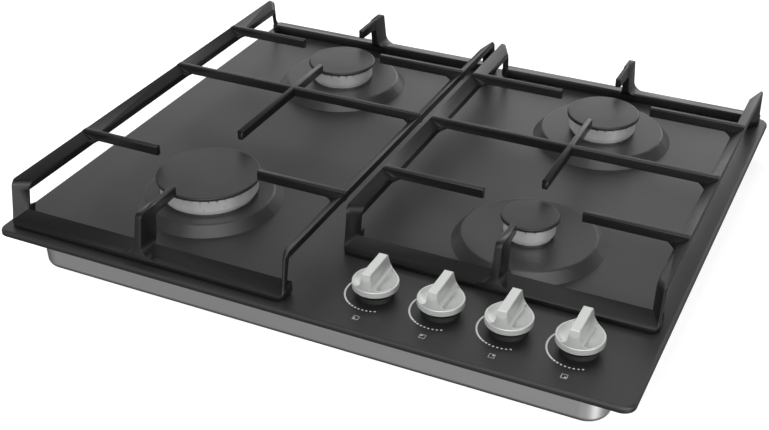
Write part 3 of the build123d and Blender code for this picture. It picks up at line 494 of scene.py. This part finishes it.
def squarePictureTree():
    # outline of the cooktop seen from above with one dot in the corner of the burner
    tree, start, end = geometryTree("squarePicture", (
        ("Half Size", "NodeSocketFloat", 0.003), ("Dot Radius", "NodeSocketFloat", 0.001),
        ("Dot Place", "NodeSocketVector", None), ("Line", "NodeSocketFloat", 0.0004),
        ("Thick", "NodeSocketFloat", 0.00003), ("Material", "NodeSocketMaterial", None),
    ))
    side = product(tree, start.outputs["Half Size"], 2.0)
    outside = addNode(tree, "GeometryNodeCurvePrimitiveQuadrilateral", {"Width": side, "Height": side})
    strip = addNode(tree, "GeometryNodeCurvePrimitiveQuadrilateral", {
        "Width": start.outputs["Line"], "Height": start.outputs["Thick"],
    })
    outline = addNode(tree, "GeometryNodeCurveToMesh", {
        "Curve": outside.outputs[0], "Profile Curve": strip.outputs[0],
    })
    dot = addNode(tree, "GeometryNodeMeshCylinder", {
        "Vertices": 20, "Radius": start.outputs["Dot Radius"], "Depth": start.outputs["Thick"],
    })
    dotPlaced = addNode(tree, "GeometryNodeTransform", {
        "Geometry": dot.outputs["Mesh"], "Translation": start.outputs["Dot Place"],
    })
    joined = addNode(tree, "GeometryNodeJoinGeometry")
    tree.links.new(outline.outputs[0], joined.inputs[0])
    tree.links.new(dotPlaced.outputs[0], joined.inputs[0])
    painted = addNode(tree, "GeometryNodeSetMaterial", {
        "Geometry": joined.outputs[0], "Material": start.outputs["Material"],
    })
    tree.links.new(painted.outputs[0], end.inputs[0])
    return tree


pictureTree = squarePictureTree()
pictureCorners = ((-1, -1), (-1, 1), (1, 1), (1, -1))  # which burner each knob is for
for index, ((knobX, knobY), (left, back)) in enumerate(zip(knobSpots, pictureCorners)):
    offset = dialPrint["pictureSize"] * dialPrint["dotPlace"]
    picture = bakeTree(pictureTree, f"burner_picture_{index + 1}", {
        "Half Size": dialPrint["pictureSize"], "Dot Radius": dialPrint["dotSize"],
        "Dot Place": (offset * left, offset * back, 0.0), "Line": dialPrint["lineWidth"],
        "Thick": dialPrint["thick"], "Material": dialPaint,
    }, Vector((knobX, knobY - dialPrint["pictureGap"], plateTop + dialPrint["lift"])))
    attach(picture, "hob")
print("stage: dial print")


# camera, floor and light
viewpoint = {
    "place": (0.44354, -0.99194, 0.66541), "yaw": 0.444213, "pitch": 0.554062, "roll": -0.00392,
    "focal": 1263.34, "sensor": 36.0, "imageWidth": 769.0, "clipEnd": 50.0,
}
yaw, pitch, roll = viewpoint["yaw"], viewpoint["pitch"], viewpoint["roll"]
forward = Vector((-math.sin(yaw) * math.cos(pitch), math.cos(yaw) * math.cos(pitch), -math.sin(pitch)))
level = Vector((math.cos(yaw), math.sin(yaw), 0.0))
above = level.cross(forward)
acrossView = level * math.cos(roll) + above * math.sin(roll)
upView = above * math.cos(roll) - level * math.sin(roll)
cameraData = bpy.data.cameras.new("photoView")
cameraData.sensor_width = viewpoint["sensor"]
cameraData.lens = viewpoint["focal"] * viewpoint["sensor"] / viewpoint["imageWidth"]
cameraData.clip_end = viewpoint["clipEnd"]
camera = bpy.data.objects.new("photoView", cameraData)
viewTurn = Matrix((acrossView, upView, -forward)).transposed().to_4x4()
camera.matrix_world = Matrix.Translation(viewpoint["place"]) @ viewTurn
bpy.context.scene.collection.objects.link(camera)
bpy.context.scene.camera = camera

floorLook = {"reach": 6.0, "paper": 0.46, "shown": 0.74}
floorMesh = bpy.data.meshes.new("floor")
floorCorners = [(floorLook["reach"] * x, floorLook["reach"] * y, 0)
                for x, y in ((-1, -1), (1, -1), (1, 1), (-1, 1))]
floorMesh.from_pydata(floorCorners, [], [(0, 1, 2, 3)])
floor = bpy.data.objects.new("floor", floorMesh)
bpy.context.scene.collection.objects.link(floor)
floorMaterial, floorTree = newMaterial("floorPaper")
# the floor shows shadows to the camera and is left out of every reflection
floorBase = addNode(floorTree, "ShaderNodeBsdfDiffuse", {"Color": (*(floorLook["paper"],) * 3, 1.0)})
lightPath = addNode(floorTree, "ShaderNodeLightPath")
floorGlow = addNode(floorTree, "ShaderNodeEmission", {
    "Color": (1.0, 1.0, 1.0, 1.0),
    "Strength": product(floorTree, lightPath.outputs["Is Camera Ray"], floorLook["shown"]),
})
floorSum = addNode(floorTree, "ShaderNodeAddShader")
floorTree.links.new(floorBase.outputs[0], floorSum.inputs[0])
floorTree.links.new(floorGlow.outputs[0], floorSum.inputs[1])
seeThrough = addNode(floorTree, "ShaderNodeBsdfTransparent")
floorMix = addNode(floorTree, "ShaderNodeMixShader", {0: lightPath.outputs["Is Glossy Ray"]})
floorTree.links.new(floorSum.outputs[0], floorMix.inputs[1])
floorTree.links.new(seeThrough.outputs[0], floorMix.inputs[2])
floorOutput = addNode(floorTree, "ShaderNodeOutputMaterial")
floorTree.links.new(floorMix.outputs[0], floorOutput.inputs["Surface"])
floorMesh.materials.append(floorMaterial)

world = bpy.data.worlds.new("studio")
bpy.context.scene.world = world
world.use_nodes = True
sky = world.node_tree
sky.nodes.clear()
skyPath = addNode(sky, "ShaderNodeLightPath")
direction = addNode(sky, "ShaderNodeTexCoord")
compass = addNode(sky, "ShaderNodeSeparateXYZ", {"Vector": direction.outputs["Generated"]})
glow = {
    "fill": 0.42,  # light on every surface, from all round
    # brightness of a reflection by height of the direction, -1 straight down and 1 straight up
    "behind": ((-1.00, 0.03), (-0.70, 0.12), (-0.53, 0.30), (-0.30, 0.39), (-0.12, 0.42), (0.00, 0.90),
               (0.20, 2.40), (0.38, 1.60), (0.50, 0.88), (0.60, 0.50), (0.72, 0.26), (0.84, 0.60),
               (0.94, 1.60), (1.00, 1.90)),
    "front": ((-1.00, 0.03), (-0.70, 0.12), (-0.53, 0.335), (-0.30, 0.37), (-0.12, 0.33), (0.00, 0.48),
              (0.10, 0.75), (0.22, 0.90), (0.40, 0.80), (0.60, 1.00), (0.80, 1.10), (0.94, 1.40),
              (1.00, 1.70)),
    # factors by compass angle, 0 to the front and 90 to the right, above and below the horizon
    "above": ((-180, 1.60), (-170, 1.36), (-155, 1.05), (-135, 0.66), (-100, 0.40), (-60, 0.30),
              (-42, 0.50), (-24, 1.50), (10, 2.80), (45, 3.40), (80, 1.20), (110, 0.35), (148, 0.40),
              (168, 1.30), (180, 1.60)),
    "below": ((-180, 0.70), (-150, 0.05), (-110, 0.05), (-60, 0.80), (-28, 1.00), (-20, 1.90),
              (36, 2.00), (50, 7.00), (66, 7.00), (80, 1.50), (154, 0.60), (180, 0.70)),
}
towardFront = product(sky, compass.outputs["Y"], -1.0)
compassAngle = addNode(sky, "ShaderNodeMath", {0: compass.outputs["X"], 1: towardFront}, operation="ARCTAN2")
turned = addNode(sky, "ShaderNodeMath", {0: compassAngle.outputs[0]}, operation="DEGREES").outputs[0]
behind = valueRamp(sky, compass.outputs["Z"], glow["behind"], -1.0, 1.0, "EASE")
front = valueRamp(sky, compass.outputs["Z"], glow["front"], -1.0, 1.0, "EASE")
facing = spread(sky, compass.outputs["Y"], 0.0, 1.0, -0.40, -0.05)
upward = spread(sky, compass.outputs["Z"], 0.0, 1.0, 0.00, 0.25)
downward = spread(sky, compass.outputs["Z"], 1.0, 0.0, -0.12, 0.02)
allRound = addNode(sky, "ShaderNodeMix", {0: facing, 2: front, 3: behind}).outputs[0]
ringAbove = valueRamp(sky, turned, glow["above"], -180.0, 180.0, "LINEAR")
ringBelow = valueRamp(sky, turned, glow["below"], -180.0, 180.0, "LINEAR")
factorAbove = addNode(sky, "ShaderNodeMix", {0: upward, 2: 1.0, 3: ringAbove}).outputs[0]
factorBelow = addNode(sky, "ShaderNodeMix", {0: downward, 2: 1.0, 3: ringBelow}).outputs[0]
mirrored = product(sky, allRound, product(sky, factorAbove, factorBelow))
# reflections see the curves above, other light the even fill, and the camera plain white
isGlossy = skyPath.outputs["Is Glossy Ray"]
notGlossy = addNode(sky, "ShaderNodeMath", {0: 1.0, 1: isGlossy}, operation="SUBTRACT").outputs[0]
unseen = addNode(sky, "ShaderNodeMath", {
    0: product(sky, isGlossy, mirrored), 1: product(sky, notGlossy, glow["fill"]),
}, operation="ADD").outputs[0]
strength = addNode(sky, "ShaderNodeMix", {0: skyPath.outputs["Is Camera Ray"], 2: unseen, 3: 1.0}).outputs[0]
background = addNode(sky, "ShaderNodeBackground", {"Color": (1.0, 1.0, 1.0, 1.0), "Strength": strength})
skyOutput = addNode(sky, "ShaderNodeOutputWorld")
sky.links.new(background.outputs[0], skyOutput.inputs["Surface"])


# each lamp: place, what it looks at, size, power and whether it shows in reflections
softboxes = {
    "topBox": ((-0.35, 0.35, 1.7), (0.0, 0.0, 0.05), (1.4, 1.4), 18.0, False),
    "leftBox": ((-1.5, -0.5, 1.1), (0.0, -0.1, 0.05), (1.0, 1.0), 7.0, False),
    "frontBox": ((0.1, -1.9, 0.9), (0.0, 0.0, 0.05), (1.6, 0.9), 22.0, False),
    "rightStrip": ((1.5, -0.7, 0.55), (0.0, 0.0, 0.05), (0.25, 0.9), 5.0, True),
}
for name, (place, target, size, power, inReflections) in softboxes.items():
    lightData = bpy.data.lights.new(name, "AREA")
    lightData.shape = "RECTANGLE"
    lightData.size, lightData.size_y = size
    lightData.energy = power
    lamp = bpy.data.objects.new(name, lightData)
    bpy.context.scene.collection.objects.link(lamp)
    lamp.visible_glossy = inReflections
    away = Vector(target) - Vector(place)
    lamp.matrix_world = Matrix.Translation(place) @ away.to_track_quat("-Z", "Y").to_matrix().to_4x4()
bpy.context.scene.view_settings.view_transform = "Standard"
print("stage: camera and light")
